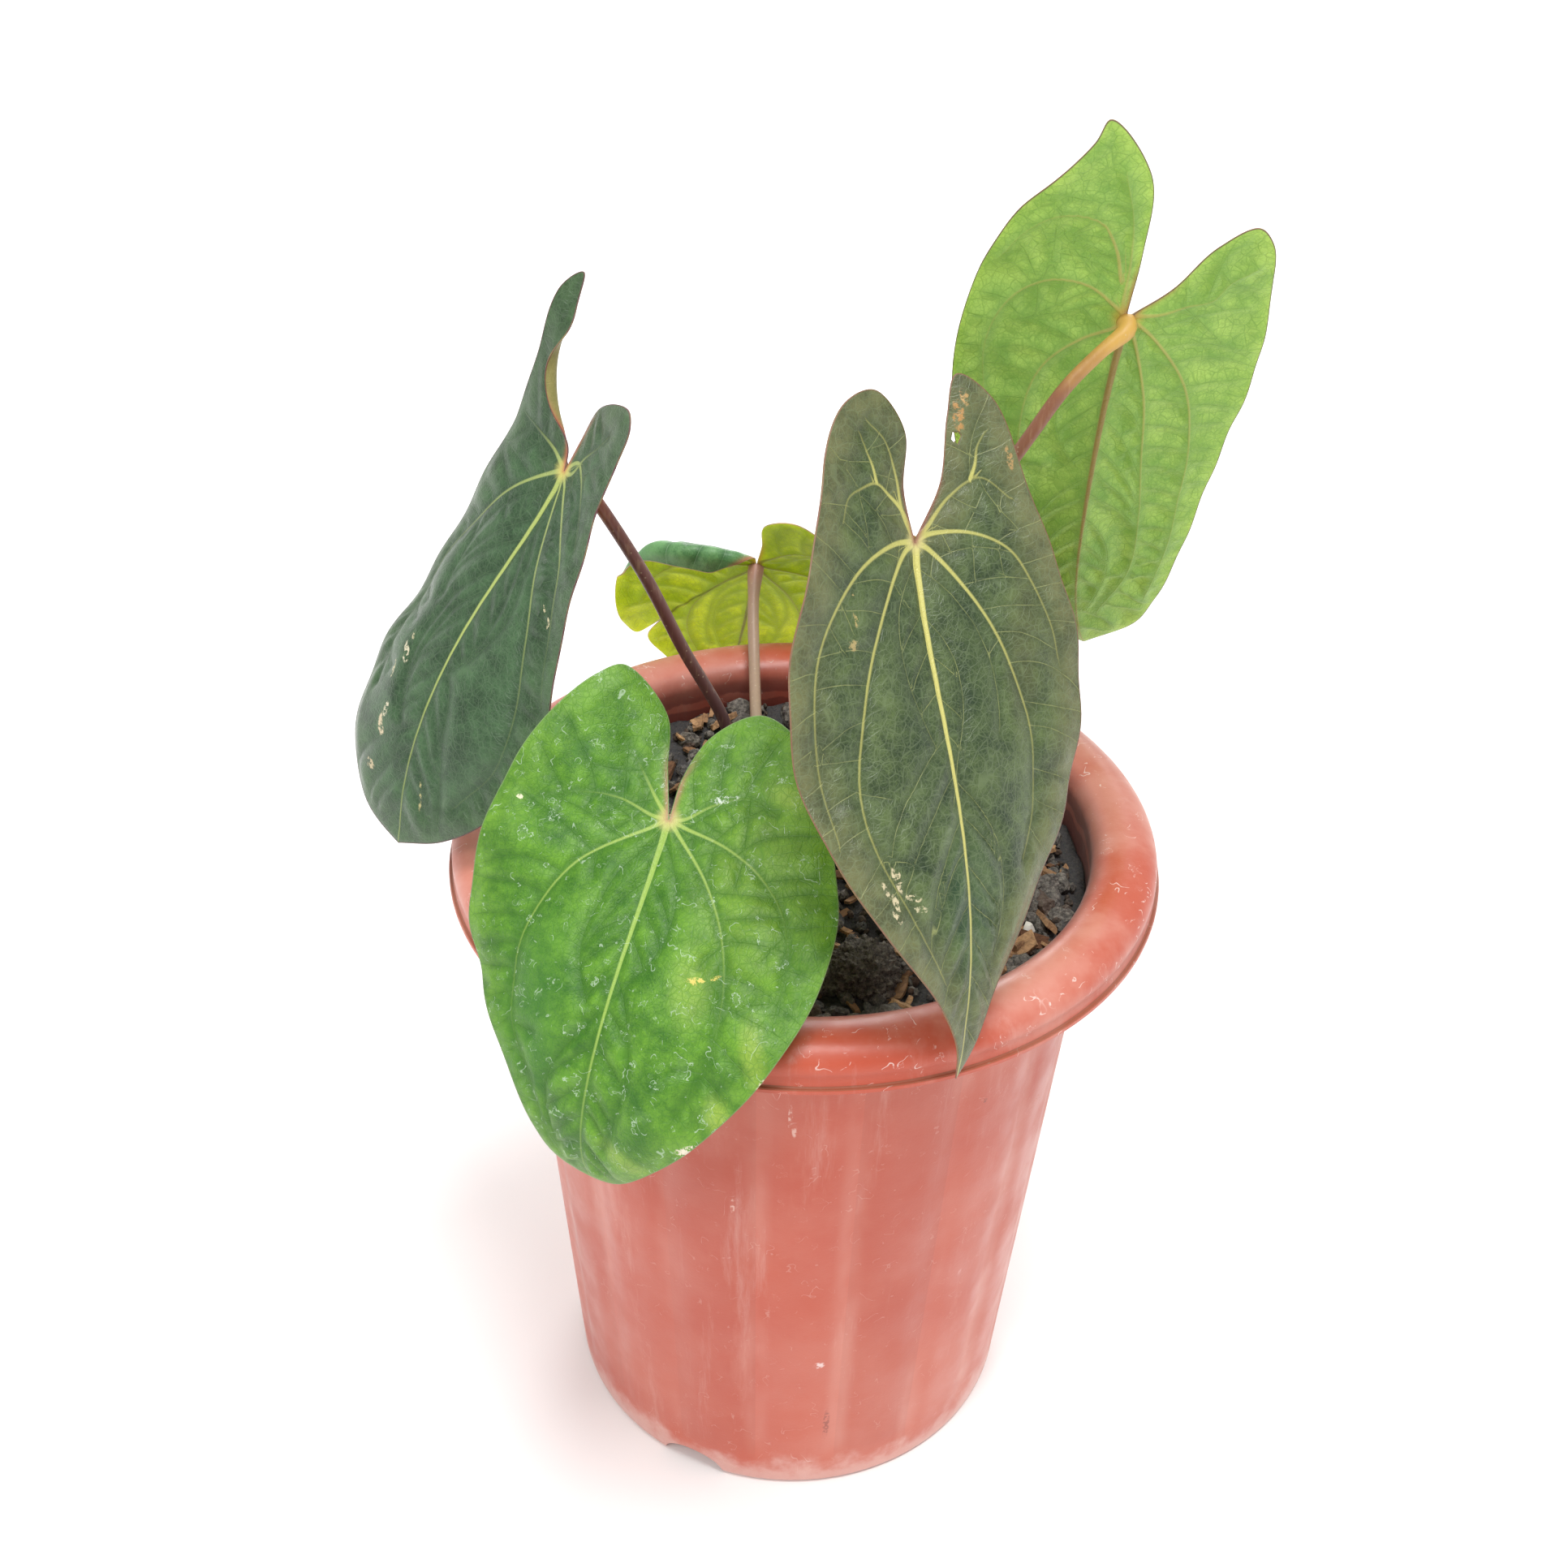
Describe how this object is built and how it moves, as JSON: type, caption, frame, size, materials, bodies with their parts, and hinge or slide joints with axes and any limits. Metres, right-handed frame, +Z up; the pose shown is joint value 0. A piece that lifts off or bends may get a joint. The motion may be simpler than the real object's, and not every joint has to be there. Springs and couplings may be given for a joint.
{
  "type": "potted anthurium plant",
  "caption": "Young anthurium with long heart-shaped leaves on slim stalks, rooted in dark bark and lava mix in a fluted round plastic pot with a rolled rim.",
  "frame": {"origin": "centre of the pot's base, on the underside of its middle pad", "axes": "+Z up; -Y is the plant's front, the side the camera sees; +X is to the viewer's right"},
  "size_m": [0.2564, 0.2657, 0.4259],
  "materials": {
    "pot": "terracotta-coloured plastic, satin, with pale lime scale and dust",
    "potting_mix": "loose damp mix of dark lava grit, charcoal, coarse soil and bark chips",
    "crown": "short stem covered in dry brown sheaths, with thick buff roots",
    "blade_front_right": "velvety dark olive leaf with pale yellow-green veins",
    "blade_front_left": "satin bright green leaf with dried white rings of residue",
    "blade_left": "velvety dark blue-green leaf with pale veins",
    "blade_back_right": "matt light green underside with raised tan veins",
    "blade_back": "matt yellow-green underside, lit through",
    "stalk": "smooth purple-brown stalk, orange-brown near the blade"
  },
  "bodies": {
    "root": {"pot": "pot", "potting_mix": "potting_mix", "crown": "crown", "blade_front_right": "blade_front_right", "stalk_front_right": "stalk", "blade_front_left": "blade_front_left", "stalk_front_left": "stalk", "blade_left": "blade_left", "stalk_left": "stalk", "blade_back_right": "blade_back_right", "stalk_back_right": "stalk", "blade_back": "blade_back", "stalk_back": "stalk"}
  },
  "joints": []
}
